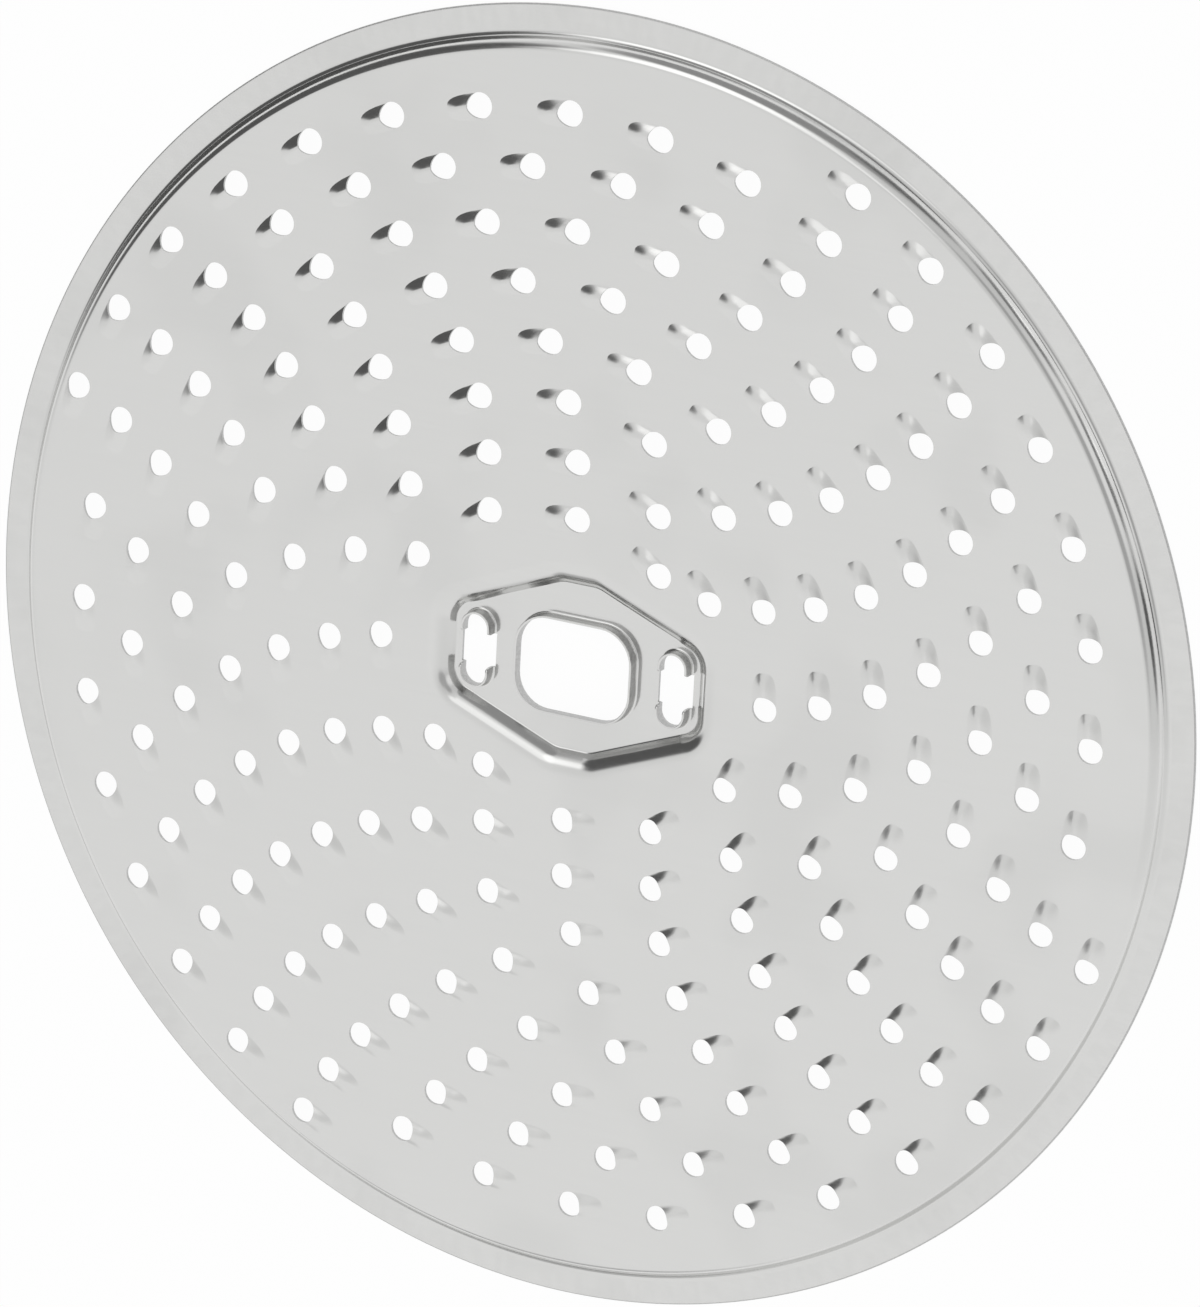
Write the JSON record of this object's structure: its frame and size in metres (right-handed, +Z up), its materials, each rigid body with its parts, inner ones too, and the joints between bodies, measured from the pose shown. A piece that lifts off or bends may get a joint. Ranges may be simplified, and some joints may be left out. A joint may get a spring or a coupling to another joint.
{
  "type": "food processor grating disc",
  "caption": "Round stamped steel grating disc with spiral rows of raised teeth, a stepped rim flange and a sunken hub with a collared drive opening and two slots.",
  "frame": {"origin": "on the axis of rotation, at the underside of the rim flange that the disc lies on", "axes": "+Z up out of the toothed face along the axis of rotation, X through the two slots"},
  "size_m": [0.16, 0.16, 0.0028],
  "materials": {
    "steel_sheet": "satin bright stainless steel"
  },
  "bodies": {
    "root": {"grating_disc": "steel_sheet"}
  },
  "joints": []
}
